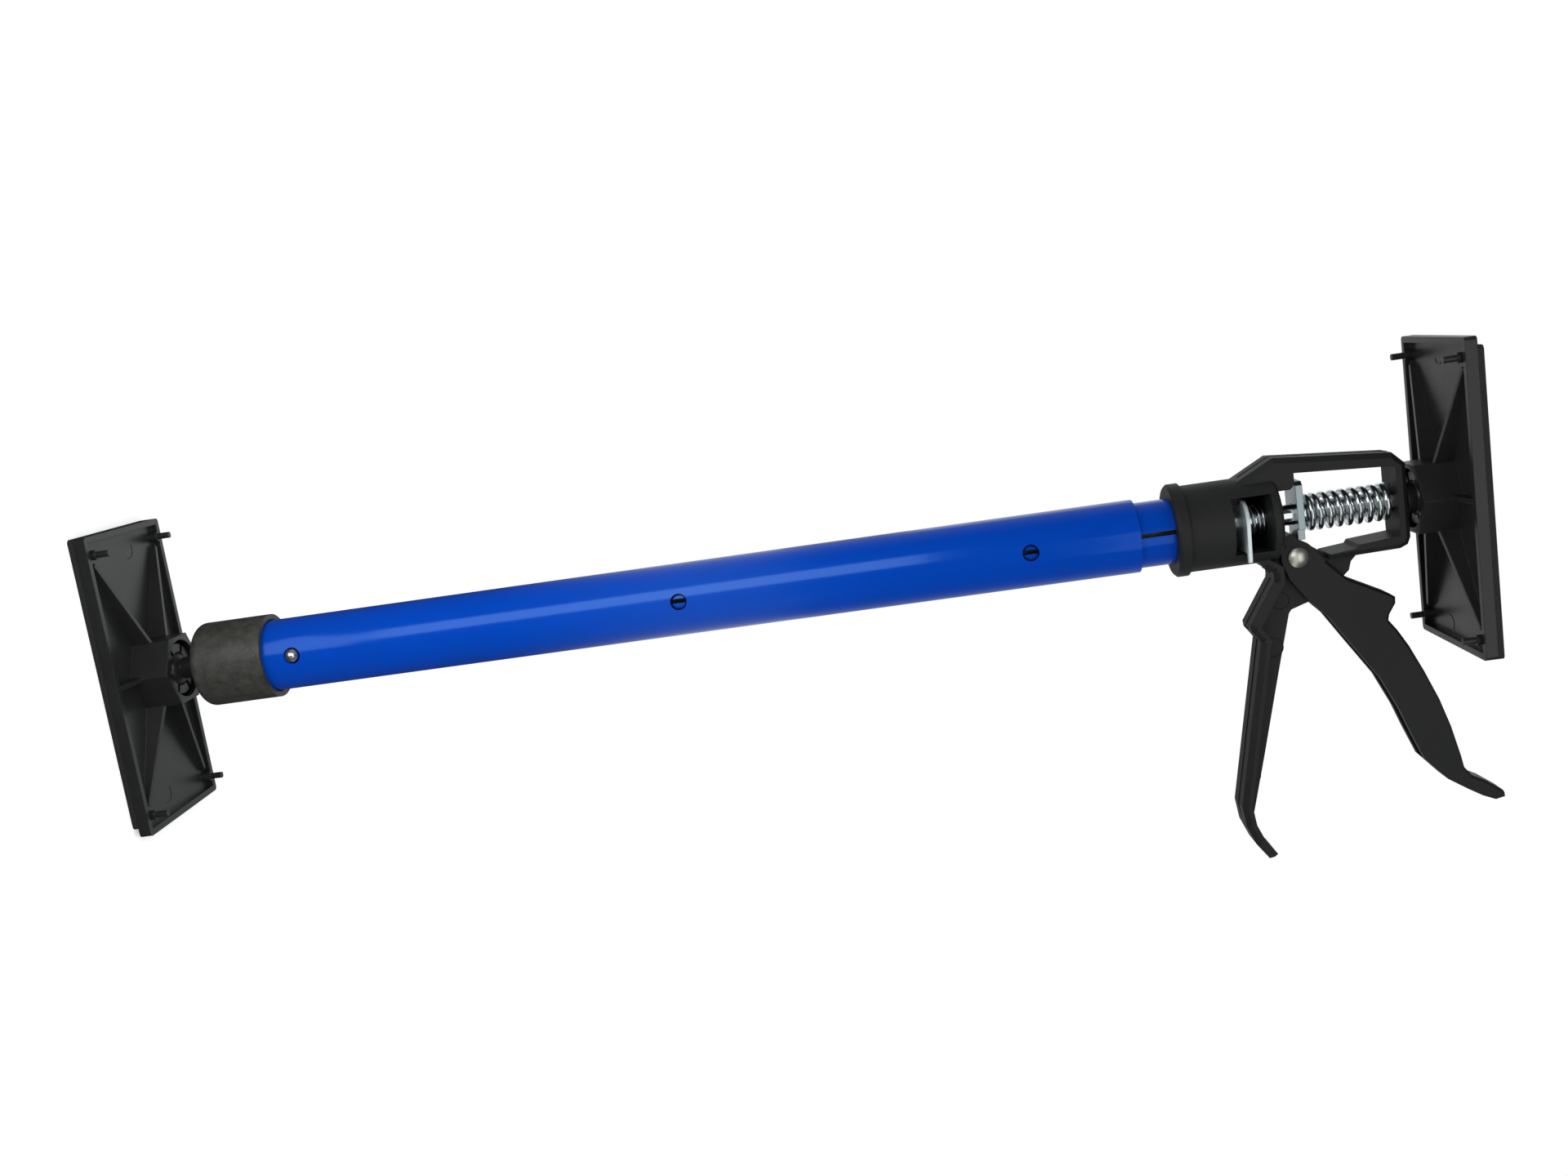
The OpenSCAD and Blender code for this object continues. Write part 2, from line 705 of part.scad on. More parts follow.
module grip_body() {
    outline = frame_outline();
    strip_inside = beside(handle_back, strip_t);
    color("black")
        difference() {
            union() {
                sleeve();
                difference() {
                    slab(outline, frame_w);
                    bevel_cuts(part_of(outline, 1, 8), frame_w, bevel_w, 0.35);
                    // The rod's way through the head wall
                    translate([0, 0, opening_top - over])
                        cylinder(r = rod_hole_r, h = head_wall_t + 2 * over);
                }
                slab(web_outline(), web_t);
                difference() {
                    slab(concat(handle_back, reverse(strip_inside)), frame_w);
                    bevel_cuts(part_of(handle_back, 1, len(handle_back) - 1), frame_w, bevel_w, 0);
                    // Room for the cheeks of the trigger, at their round ends and when pulled
                    for (side = [-1, 1])
                        translate([0, side * (cheek_in + cheek_out) / 2, 0]) {
                            cross_disc(pivot_x, pivot_z, pocket_r, cheek_t + 2 * cheek_gap);
                            translate([pivot_x, 0, pivot_z])
                                rotate([0, trigger_travel, 0])
                                    translate([-pivot_x, 0, -pivot_z - seat_gap])
                                        slab(trigger_side(), cheek_t + 2 * cheek_gap);
                        }
                }
            }
            translate([0, 0, window_top - over])
                cylinder(r = rod_hole_r, h = end_wall_t + 2 * over);
            cross_disc(pivot_x, pivot_z, rivet_r + fit_gap, frame_w);
        }
}

// Side view of the trigger, without its round end
function trigger_side() = concat(trigger_inner, reverse(trigger_outer));

module trigger() {
    side = trigger_side();
    spine = part_of(trigger_outer, spine_first, toe_outer);
    toe = concat(
        part_of(trigger_inner, toe_inner, len(trigger_inner) - 1),
        reverse(part_of(trigger_outer, toe_outer, len(trigger_outer) - 1))
    );
    color("black")
        difference() {
            union() {
                difference() {
                    union() {
                        slab(side, 2 * cheek_out);
                        cross_disc(pivot_x, pivot_z, trigger_end_r, 2 * cheek_out);
                    }
                    slab(side, 2 * cheek_in);
                    cross_disc(pivot_x, pivot_z, trigger_end_r + over, 2 * cheek_in);
                }
                slab(concat(spine, reverse(beside(spine, -spine_t))), 2 * cheek_out);
                slab(toe, 2 * cheek_out);
                cross_disc(nose_x, nose_z, nose_r, 2 * cheek_out);
            }
            bevel_cuts(part_of(trigger_outer, 1, len(trigger_outer) - 1), 2 * cheek_out, trigger_bevel, 0.35);
            cross_disc(pivot_x, pivot_z, rivet_r + rivet_gap, 3 * cheek_out);
        }
}

module rivet_head() {
    // A low dome: a slice of a ball that has the head's width at its foot
    dome_r = (pow(rivet_head_d / 2, 2) + pow(rivet_head_h, 2)) / (2 * rivet_head_h);
    intersection() {
        translate([0, 0, rivet_head_h - dome_r])
            sphere(r = dome_r);
        cylinder(d = rivet_head_d, h = rivet_head_h);
    }
}

module pivot_rivet() {
    seat = cheek_out + rivet_gap;
    color("silver")
        translate([pivot_x, 0, pivot_z]) {
            rotate([90, 0, 0])
                cylinder(r = rivet_r, h = 2 * seat, center = true);
            for (side = [-1, 1])
                rotate([side * 90, 0, 0])
                    translate([0, 0, seat])
                        rivet_head();
        }
}

module drive_plate() {
    half = drive_w / 2;
    corner = drive_w / 10;
    color("lightsteelblue")
        translate([0, 0, drive_z])
            linear_extrude(height = drive_t)
                difference() {
                    union() {
                        polygon([
                            [corner - drive_ends[0], -half], [drive_ends[1], -half], [drive_ends[1], half],
                            [corner - drive_ends[0], half], [-drive_ends[0], half - corner],
                            [-drive_ends[0], corner - half]
                        ]);
                        translate([0, -drive_tongue_w / 2])
                            square([drive_reach, drive_tongue_w]);
                    }
                    circle(r = rod_hole_r);
                }
}

// The lock plate in its own plane, its back edge at the left
module lock_plate_shape() {
    half = lock_w / 2;
    corner = half - fulcrum_w;
    difference() {
        union() {
            translate([corner - lock_back, -half])
                square([lock_ear + lock_back - corner, lock_w]);
            translate([-lock_back, corner - half])
                square([lock_back + lock_ear, lock_w - 2 * corner]);
            for (side = [-1, 1])
                translate([corner - lock_back, side * (half - corner)])
                    circle(r = corner);
        }
        circle(r = rod_hole_r + rod_gap / 3);
        translate([window_h / 2 - seat_gap, -lock_notch_w / 2])
            square([lock_ear, lock_notch_w]);
    }
}

module lock_plate() {
    color("gainsboro")
        translate([-lock_back, 0, lock_z])
            rotate([0, lock_tilt, 0])
                translate([lock_back, 0, 0])
                    linear_extrude(height = lock_t)
                        lock_plate_shape();
}

// Rise of a compression spring with one closed turn at each end
function coil_rise(t, turns, closed, pitch) =
    t < 1 ? t * closed
    : t > turns - 1 ? closed + (turns - 2) * pitch + (t - turns + 1) * closed
    : closed + (t - 1) * pitch;

// Rings of a coil's wire, each a list of its centre and its turn in degrees
function coil_path(radius, wire, length, turns) =
    let (rings = turns * 8)
    let (closed = wire + end_turn_gap)
    let (pitch = (length - wire - 2 * closed) / (turns - 2))
    let (middle = [for (i = [0:rings]) [
        [radius * cos(i * 45), radius * sin(i * 45), wire / 2 + coil_rise(i / 8, turns, closed, pitch)],
        i * 45
    ]])
    let (first = [middle[0][0] - wire * [0, 1, 0], 0])
    let (turned = rings * 45)
    let (last = [middle[rings][0] + wire * [-sin(turned), cos(turned), 0], turned])
    concat([first], middle, [last]);

// Least gap between turns: points half a turn or more apart along the wire
function coil_gap(path, wire) = min([
    for (i = [0:len(path) - 6])
        min([for (j = [i + 5:len(path) - 1]) norm(path[i][0] - path[j][0])])
]) - wire;

module coil_spring(radius, wire, length, turns) {
    path = coil_path(radius, wire, length, turns);
    sides = 6;
    last = len(path) - 1;
    points = [
        for (ring = path, k = [0:sides - 1])
            ring[0] + wire / 2 * [
                cos(k * 60) * cos(ring[1]),
                cos(k * 60) * sin(ring[1]),
                sin(k * 60)
            ]
    ];
    faces = concat(
        [for (i = [0:last - 1], k = [0:sides - 1])
            [i * sides + k, (i + 1) * sides + k, i * sides + (k + 1) % sides]],
        [for (i = [0:last - 1], k = [0:sides - 1])
            [i * sides + (k + 1) % sides, (i + 1) * sides + k, (i + 1) * sides + (k + 1) % sides]],
        [for (k = [1:sides - 2]) [0, k, k + 1]],
        [for (k = [1:sides - 2]) [last * sides, last * sides + k + 1, last * sides + k]]
    );
    echo(least_gap_between_turns = coil_gap(path, wire));
    polyhedron(points = points, faces = faces);
}

module return_spring() {
    color("silver")
        translate([0, 0, return_z])
            coil_spring((return_od - return_wire) / 2, return_wire, return_len, return_turns);
}

module lock_spring() {
    color("silver")
        translate([0, 0, lock_spring_z])
            coil_spring((lock_spring_od - lock_wire) / 2, lock_wire, lock_spring_len, lock_turns);
}

module push_rod() {
    edge = rod_r / 8;
    color("silver") {
        translate([0, 0, rod_foot_z])
            cylinder(r1 = rod_r - edge, r2 = rod_r, h = edge);
        translate([0, 0, rod_foot_z + edge])
            cylinder(r = rod_r, h = rod_top - rod_foot_z - edge);
    }
}

module rod_guide() {
    color("darkgray")
        difference() {
            translate([0, 0, rod_foot_z])
                cylinder(r = inner_bore - tube_gap, h = guide_l);
            translate([0, 0, rod_foot_z - over])
                cylinder(r = rod_r + fit_gap, h = guide_l + 2 * over);
        }
}

module head_ball() {
    color("black")
        difference() {
            union() {
                translate([0, 0, head_ball_z])
                    sphere(r = ball_r);
                translate([0, 0, head_top + seat_gap])
                    cylinder(r = rod_r * 1.5, h = ball_r);
            }
            translate([0, 0, head_top - over])
                cylinder(r = rod_r + fit_gap, h = rod_top + fit_gap - head_top + over);
        }
}

module head_plate() {
    color("black")
        translate([0, 0, head_pad_z])
            rotate([180, 0, 0])
                pad_plate();
}

module head_sheet() {
    color("dimgray")
        translate([0, 0, head_pad_z])
            rotate([0, 180, 0])
                sheet();
}

foot_sheet();
foot_plate();
foot_ball();
end_cap();
outer_tube();
inner_tube();
button();
button_spring();
grip_body();
trigger();
pivot_rivet();
drive_plate();
return_spring();
lock_plate();
lock_spring();
push_rod();
rod_guide();
head_ball();
head_plate();
head_sheet();
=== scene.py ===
import math

import bpy
from mathutils import Euler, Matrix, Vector


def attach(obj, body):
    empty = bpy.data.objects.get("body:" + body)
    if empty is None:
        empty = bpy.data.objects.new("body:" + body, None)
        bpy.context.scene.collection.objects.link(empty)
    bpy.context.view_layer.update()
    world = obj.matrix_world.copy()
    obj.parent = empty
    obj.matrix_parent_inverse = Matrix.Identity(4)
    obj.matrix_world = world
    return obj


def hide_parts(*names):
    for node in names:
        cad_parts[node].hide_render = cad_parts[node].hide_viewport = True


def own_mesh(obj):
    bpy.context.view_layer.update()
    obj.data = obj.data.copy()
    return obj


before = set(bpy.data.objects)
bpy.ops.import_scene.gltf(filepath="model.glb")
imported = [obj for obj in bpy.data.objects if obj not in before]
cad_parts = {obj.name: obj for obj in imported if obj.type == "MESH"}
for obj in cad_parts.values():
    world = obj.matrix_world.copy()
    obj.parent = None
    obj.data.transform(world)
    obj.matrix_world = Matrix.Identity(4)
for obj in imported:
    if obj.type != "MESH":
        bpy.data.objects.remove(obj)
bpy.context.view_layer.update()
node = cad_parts

# The view: the pole lies across the picture, seen square from its button side and a little
# from behind the top bar, so the camera is rolled by about a quarter turn.
lens = bpy.data.cameras.new("view")
lens.sensor_width = 36
lens.lens = 33.78
lens.clip_start = 0.01
camera = bpy.data.objects.new("view", lens)
camera.location = (-0.09322, -0.56149, 0.29827)
camera.rotation_euler = Euler([math.radians(a) for a in (64.245, -81.249, 15.937)], "XYZ")
bpy.context.scene.collection.objects.link(camera)
bpy.context.scene.camera = camera
bpy.context.scene.view_settings.view_transform = "Standard"


# The room: plain white where the camera sees it. What steel and gloss mirror is pale behind
# the pole and dim on the camera's side, so that bright steel shows dark bands.
def add_node(tree, kind, **values):
    """A shader node with some of its sockets set."""
    made = tree.nodes.new(kind)
    for key, value in values.items():
        made.inputs[key].default_value = value
    return made


def join(tree, pairs):
    """Link each pair of sockets, from the first to the second."""
    for start, end in pairs:
        tree.links.new(start, end)


room = bpy.data.worlds.new("room")
room.use_nodes = True
bpy.context.scene.world = room
tree = room.node_tree
tree.nodes.clear()
direction = add_node(tree, "ShaderNodeTexCoord")
split = add_node(tree, "ShaderNodeSeparateXYZ")
depth = add_node(tree, "ShaderNodeMapRange")
depth.inputs["From Min"].default_value = -1
walls = add_node(tree, "ShaderNodeValToRGB")
dim_wall, pale_wall = (0.42, (0.03, 0.03, 0.03, 1)), (0.8, (0.36, 0.37, 0.38, 1))
for stop, (position, shade) in zip(walls.color_ramp.elements, (dim_wall, pale_wall)):
    stop.position, stop.color = position, shade
mirrored = add_node(tree, "ShaderNodeBackground")
soft = add_node(tree, "ShaderNodeBackground", Color=(0.97, 0.98, 1, 1), Strength=0.55)
seen = add_node(tree, "ShaderNodeBackground", Color=(1, 1, 1, 1), Strength=1)
path = add_node(tree, "ShaderNodeLightPath")
gloss = add_node(tree, "ShaderNodeMixShader")
show = add_node(tree, "ShaderNodeMixShader")
out = add_node(tree, "ShaderNodeOutputWorld")
join(tree, (
    (direction.outputs["Generated"], split.inputs[0]),
    (split.outputs["Y"], depth.inputs["Value"]),
    (depth.outputs[0], walls.inputs["Fac"]),
    (walls.outputs["Color"], mirrored.inputs["Color"]),
    (path.outputs["Is Glossy Ray"], gloss.inputs["Fac"]),
    (soft.outputs[0], gloss.inputs[1]),
    (mirrored.outputs[0], gloss.inputs[2]),
    (path.outputs["Is Camera Ray"], show.inputs["Fac"]),
    (gloss.outputs[0], show.inputs[1]),
    (seen.outputs[0], show.inputs[2]),
    (show.outputs[0], out.inputs["Surface"]),
))

# The floor under the foot pad: white paper that keeps the pole's soft shadow and runs out
# into plain white. What steel and gloss mirror of it is dark near by and pale further off.
floor_half, sweep_start, sweep_end, mirror_end = 4, 0.15, 0.6, 1.5
dark_mirrored, pale_mirrored = 0.04, 0.7
floor_mesh = bpy.data.meshes.new("floor")
floor_mesh.from_pydata(
    [(x * floor_half, y * floor_half, 0) for x, y in ((-1, -1), (1, -1), (1, 1), (-1, 1))],
    [], [(0, 1, 2, 3)],
)
floor = bpy.data.objects.new("floor", floor_mesh)
bpy.context.scene.collection.objects.link(floor)


def blank_skin(name):
    """A new material, with its tree and its surface shader."""
    mat = bpy.data.materials.new(name)
    mat.use_nodes = True
    return mat, mat.node_tree, mat.node_tree.nodes["Principled BSDF"]


paper, tree, sheet = blank_skin("floor_paper")
sheet.inputs["Base Color"].default_value = (0.8, 0.8, 0.8, 1)
sheet.inputs["Roughness"].default_value = 0.9
sheet.inputs["Specular IOR Level"].default_value = 0
lift = add_node(tree, "ShaderNodeEmission", Strength=0.42)
sweep = add_node(tree, "ShaderNodeEmission", Strength=1)
path = add_node(tree, "ShaderNodeLightPath")
place = add_node(tree, "ShaderNodeTexCoord")
reach = add_node(tree, "ShaderNodeVectorMath")
reach.operation = "LENGTH"
edge = add_node(tree, "ShaderNodeMapRange")
edge.inputs["From Min"].default_value = sweep_start
edge.inputs["From Max"].default_value = sweep_end
add = add_node(tree, "ShaderNodeAddShader")
fade = add_node(tree, "ShaderNodeMixShader")
seen = add_node(tree, "ShaderNodeMixShader")
mirrored = add_node(tree, "ShaderNodeMixShader")
glow = add_node(tree, "ShaderNodeEmission")
far = add_node(tree, "ShaderNodeMapRange")
far.inputs["From Min"].default_value = sweep_end
far.inputs["From Max"].default_value = mirror_end
far.inputs["To Min"].default_value = dark_mirrored
far.inputs["To Max"].default_value = pale_mirrored
join(tree, (
    (place.outputs["Object"], reach.inputs[0]),
    (reach.outputs["Value"], edge.inputs["Value"]),
    (edge.outputs[0], fade.inputs["Fac"]),
    (sheet.outputs[0], add.inputs[0]),
    (lift.outputs[0], add.inputs[1]),
    (add.outputs[0], fade.inputs[1]),
    (sweep.outputs[0], fade.inputs[2]),
    (reach.outputs["Value"], far.inputs["Value"]),
    (far.outputs[0], glow.inputs["Strength"]),
    (path.outputs["Is Camera Ray"], seen.inputs["Fac"]),
    (sheet.outputs[0], seen.inputs[1]),
    (fade.outputs[0], seen.inputs[2]),
    (path.outputs["Is Glossy Ray"], mirrored.inputs["Fac"]),
    (seen.outputs[0], mirrored.inputs[1]),
    (glow.outputs[0], mirrored.inputs[2]),
    (mirrored.outputs[0], tree.nodes["Material Output"].inputs["Surface"]),
))
floor_mesh.materials.append(paper)


# The lamps: a long soft box beside the camera and a bright patch of floor under it, whose
# streak lies along the tube, and large weak ones that fill from the front, from the head,
# from under the trigger and from behind.
def soft_box(name, place, aim, size, radiance, mirrors=True):
    """A lamp that lights at the given level up close, and shows in gloss if it mirrors."""
    lamp = bpy.data.lights.new(name, "AREA")
    lamp.shape = "RECTANGLE"
    lamp.size, lamp.size_y = size
    lamp.energy = radiance * math.pi * size[0] * size[1]
    holder = bpy.data.objects.new(name, lamp)
    holder.location = place
    holder.rotation_euler = (Vector(aim) - Vector(place)).to_track_quat("-Z", "Y").to_euler()
    holder.visible_camera = False
    holder.visible_glossy = mirrors
    bpy.context.scene.collection.objects.link(holder)


soft_box("streak", (-0.14, -0.245, 0.165), aim=(0, 0, 0.165), size=(0.14, 0.32), radiance=3.2)
soft_box(
    "floor_patch", (-0.1, -0.175, 0.002), aim=(-0.1, -0.175, 1), size=(0.13, 0.16), radiance=2.2
)
soft_box("front", (0.1, -0.8, 0.76), aim=(0.02, 0, 0.46), size=(0.9, 0.5), radiance=1)
soft_box(
    "head", (0.05, -0.3, 1.5), aim=(0.03, 0, 0.3), size=(1.1, 1.1), radiance=1, mirrors=False
)
soft_box(
    "under", (1.1, -0.3, 0.6), aim=(0.03, 0, 0.35), size=(0.8, 0.8), radiance=0.8, mirrors=False
)
soft_box("behind", (-0.3, 1.2, 0.8), aim=(0, 0, 0.25), size=(1.2, 1.0), radiance=0.45)


# The foot sheet: a flat rubber mat stuck to the back of the foot plate, which grips the
# floor. It is moulded, with a fine grain and a dull face.
def two_shades(tree, colour, spread):
    """A mix between a darker and a lighter shade of one colour."""
    tint = add_node(tree, "ShaderNodeMix")
    tint.data_type = "RGBA"
    tint.inputs["A"].default_value = (*[c * (1 - spread) for c in colour], 1)
    tint.inputs["B"].default_value = (*[min(c * (1 + spread), 1) for c in colour], 1)
    return tint


def moulded(name, colour, roughness, grain, depth, level, patch=0.2, patches=60, round_r=0.0004):
    """Black plastic or rubber: grain is the skin's fineness, patch how far its tint wanders."""
    spread = 0.07
    mat, tree, skin = blank_skin(name)
    skin.inputs["Specular IOR Level"].default_value = level
    place = add_node(tree, "ShaderNodeTexCoord")
    clouds = add_node(tree, "ShaderNodeTexNoise", Scale=patches, Detail=4, Roughness=0.6)
    tint = two_shades(tree, colour, patch)
    dull = add_node(tree, "ShaderNodeMapRange")
    dull.inputs["To Min"].default_value = roughness - spread
    dull.inputs["To Max"].default_value = roughness + spread
    fine = add_node(tree, "ShaderNodeTexNoise", Scale=grain, Detail=3)
    rounded = add_node(tree, "ShaderNodeBevel", Radius=round_r)
    bump = add_node(tree, "ShaderNodeBump", Strength=0.5, Distance=depth)
    join(tree, (
        (place.outputs["Object"], clouds.inputs["Vector"]),
        (place.outputs["Object"], fine.inputs["Vector"]),
        (clouds.outputs["Fac"], tint.inputs["Factor"]),
        (tint.outputs["Result"], skin.inputs["Base Color"]),
        (clouds.outputs["Fac"], dull.inputs["Value"]),
        (dull.outputs[0], skin.inputs["Roughness"]),
        (fine.outputs["Fac"], bump.inputs["Height"]),
        (rounded.outputs[0], bump.inputs["Normal"]),
        (bump.outputs[0], skin.inputs["Normal"]),
    ))
    return mat


def dress(name, mat):
    """Give a solid of the part its material."""
    node[name].data.materials.clear()
    node[name].data.materials.append(mat)


mat_rubber = moulded(
    "mat_rubber", (0.017, 0.018, 0.017), roughness=0.75, grain=900, depth=0.0002, level=0.3
)
dress("foot_sheet", mat_rubber)

# The foot plate: one moulding of black plastic, with a rim, ribs, four corner pegs and the
# socket. Its floor shows the round marks of the pins that pushed it out of the mould.
pad_plastic = moulded(
    "pad_plastic", (0.0145, 0.0158, 0.0148),
    roughness=0.34, grain=1800, depth=0.00005, level=0.5,
)
dress("foot_plate", pad_plastic)
floor_up, mark_r, bead_r = 0.0041, 0.0036, 0.00018


def fit_piece(name, mesh, body):
    """Put a mesh in the scene as a piece that moves with a body."""
    piece = bpy.data.objects.new(name, mesh)
    bpy.context.scene.collection.objects.link(piece)
    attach(piece, body)
    return piece


def ring_marks(name, body, mat, marks, bead=bead_r):
    """Thin beads along arcs, each given by centre, two directions, radius, start and end."""
    steps, sides = 28, 6
    points, faces = [], []
    for centre, across, along, radius, begin, end in marks:
        centre, across, along = Vector(centre), Vector(across), Vector(along)
        upright = across.cross(along)
        base = len(points)
        for i in range(steps + 1):
            turn = math.radians(begin + (end - begin) * i / steps)
            outward = across * math.cos(turn) + along * math.sin(turn)
            for k in range(sides):
                lean = 2 * math.pi * k / sides
                reach = radius + bead * math.cos(lean)
                points.append(centre + outward * reach + upright * bead * math.sin(lean))
        for i in range(steps):
            here, ahead = base + i * sides, base + (i + 1) * sides
            for k in range(sides):
                after = (k + 1) % sides
                faces.append((here + k, ahead + k, ahead + after, here + after))
        faces.append(tuple(base + k for k in range(sides)))
        faces.append(tuple(base + steps * sides + k for k in reversed(range(sides))))
    mesh = bpy.data.meshes.new(name)
    mesh.from_pydata([tuple(p) for p in points], [], faces)
    mesh.materials.append(mat)
    for face in mesh.polygons:
        face.use_smooth = True
    return fit_piece(name, mesh, body)


ring_marks("foot_pin_marks", "foot_pad", pad_plastic, [
    ((-0.0495, 0.005, floor_up), (1, 0, 0), (0, 1, 0), mark_r, -20, 110),
    ((0.0482, -0.007, floor_up), (1, 0, 0), (0, 1, 0), mark_r, -30, 120),
])

# The foot ball: a smooth plastic ball on a short shank, which snaps into the floor of the
# end cap and turns in the socket.
ball_plastic = moulded(
    "ball_plastic", (0.014, 0.014, 0.014), roughness=0.3, grain=2500, depth=0.00002, level=0.4
)
dress("foot_ball", ball_plastic)

# The end cap: a thick plastic cup pressed over the lower end of the outer tube. Its skin is
# spark grained and scuffed, so it looks mottled.
cap_plastic = moulded(
    "cap_plastic", (0.035, 0.036, 0.03), roughness=0.48, grain=900, depth=0.0003, level=0.6,
    patch=0.9, patches=300, round_r=0.0008,
)
dress("end_cap", cap_plastic)


# The outer tube: steel tube with a glossy blue powder coat, which gathers a soft streak of
# light and has a faint orange peel. The dark rings at its holes' edges are partly the bare cut
# edge and partly painted shade from the holes' rims.
def powder_coat(name, colour, gloss):
    """Blue paint with a clear skin; its tint wanders a little along the tube."""
    wander = 0.06
    mat, tree, skin = blank_skin(name)
    skin.inputs["Base Color"].default_value = (*colour, 1)
    skin.inputs["Roughness"].default_value = gloss
    skin.inputs["Specular IOR Level"].default_value = 0.5
    skin.inputs["Specular Tint"].default_value = (0.2, 0.55, 1, 1)
    skin.inputs["Coat Weight"].default_value = 0.16
    skin.inputs["Coat Roughness"].default_value = gloss / 2
    place = add_node(tree, "ShaderNodeTexCoord")
    peel = add_node(tree, "ShaderNodeTexNoise", Scale=420, Detail=2)
    bump = add_node(tree, "ShaderNodeBump", Strength=0.25, Distance=0.00003)
    wash = add_node(tree, "ShaderNodeTexNoise", Scale=30, Detail=2)
    tint = two_shades(tree, colour, wander)
    join(tree, (
        (place.outputs["Object"], peel.inputs["Vector"]),
        (place.outputs["Object"], wash.inputs["Vector"]),
        (wash.outputs["Fac"], tint.inputs["Factor"]),
        (tint.outputs["Result"], skin.inputs["Base Color"]),
        (peel.outputs["Fac"], bump.inputs["Height"]),
        (bump.outputs[0], skin.inputs["Normal"]),
        (bump.outputs[0], skin.inputs["Coat Normal"]),
    ))
    return mat


def bright_metal(name, colour, roughness, streak=0.03, round_r=0.0002):
    """Plated or drawn steel: streak is how far its roughness wanders."""
    wander, smoothest = 0.1, 0.02
    mat, tree, skin = blank_skin(name)
    skin.inputs["Metallic"].default_value = 1
    place = add_node(tree, "ShaderNodeTexCoord")
    clouds = add_node(tree, "ShaderNodeTexNoise", Scale=350, Detail=3)
    dull = add_node(tree, "ShaderNodeMapRange")
    dull.inputs["To Min"].default_value = max(roughness - streak, smoothest)
    dull.inputs["To Max"].default_value = roughness + streak
    tint = two_shades(tree, colour, wander)
    rounded = add_node(tree, "ShaderNodeBevel", Radius=round_r)
    join(tree, (
        (place.outputs["Object"], clouds.inputs["Vector"]),
        (clouds.outputs["Fac"], dull.inputs["Value"]),
        (clouds.outputs["Fac"], tint.inputs["Factor"]),
        (tint.outputs["Result"], skin.inputs["Base Color"]),
        (dull.outputs[0], skin.inputs["Roughness"]),
        (rounded.outputs[0], skin.inputs["Normal"]),
    ))
    return mat


blue_coat = powder_coat("blue_coat", (0, 0.046, 0.39), gloss=0.18)
dress("outer_tube", blue_coat)
hole_turn, hole_level = math.radians(5.3), 0.0133
hole_out = Vector((-math.sin(hole_turn), -math.cos(hole_turn), 0))
hole_across = (math.cos(hole_turn), -math.sin(hole_turn), 0)
button_z, hole_ring_r, hole_bead_r = 0.0688, 0.00298, 0.00034
hole_heights = (button_z, 0.2209, 0.355)
# Dark rings round the holes: partly the bare cut edge, partly painted shade of the rims.
bare_edge_and_shade = bright_metal("bare_edge_and_shade", (0.004, 0.008, 0.03), roughness=0.5)
ring_marks("hole_edges", "base_tube", bare_edge_and_shade, [
    ((*(hole_out * hole_level).xy, z), hole_across, (0, 0, 1), hole_ring_r, 0, 360)
    for z in hole_heights
], hole_bead_r)

# The inner tube: the same steel and coat, but rolled from strip with an open seam. It slides
# in the outer tube and is fixed in the grip's sleeve.
dress("inner_tube", blue_coat)


# The button: a turned steel pin with a domed head and a flat foot, polished and chromed. It
# stands out through the lowest of the outer tube's holes.
def turned(name, body, mat, profile, place, axis):
    """A round piece turned about an axis from a profile of radius and height."""
    steps = 48
    turn = Vector((0, 0, 1)).rotation_difference(Vector(axis)).to_matrix()
    points, faces = [], []
    for radius, height in profile:
        for k in range(steps):
            a = 2 * math.pi * k / steps
            spot = Vector((radius * math.cos(a), radius * math.sin(a), height))
            points.append(Vector(place) + turn @ spot)
    for low in range(0, (len(profile) - 1) * steps, steps):
        for k in range(steps):
            after = (k + 1) % steps
            faces.append((low + k, low + after, low + steps + after, low + steps + k))
    faces.append(tuple(reversed(range(steps))))
    faces.append(tuple((len(profile) - 1) * steps + k for k in range(steps)))
    mesh = bpy.data.meshes.new(name)
    mesh.from_pydata([tuple(p) for p in points], [], faces)
    mesh.materials.append(mat)
    mesh.shade_smooth()
    mesh.set_sharp_from_angle(angle=math.radians(40))
    return fit_piece(name, mesh, body)


def dome(ball_r, rim_r, top):
    """Profile of a dome cut from a ball, from its rim up to a small flat on its top."""
    steps, flat = 12, 0.00002
    rim_angle = math.asin(min(rim_r / ball_r, 1))
    angles = [rim_angle * (1 - i / steps) for i in range(steps + 1)]
    centre = top - ball_r
    return [(max(ball_r * math.sin(a), flat), centre + ball_r * math.cos(a)) for a in angles]


button_r, button_top, button_foot_r = 0.0026, 0.0164, 0.0038
button_low, button_foot, button_taper = 0.01, 0.0108, 0.0004
chrome = bright_metal("button_chrome", (0.98, 0.95, 0.84), roughness=0.3, streak=0.02)
button = turned(
    "polished_button", "button", chrome,
    [
        (button_foot_r, button_low), (button_foot_r, button_foot - button_taper),
        (button_r, button_foot), *dome(button_r, button_r, button_top),
    ],
    (0, 0, button_z), hole_out,
)
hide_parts("button")

# The leaf spring behind the button: plain spring steel strip, bent to a V. It is held in the
# inner tube and is hidden by it.
dress("button_spring", bright_metal("leaf_steel", (0.5, 0.5, 0.5), roughness=0.3))

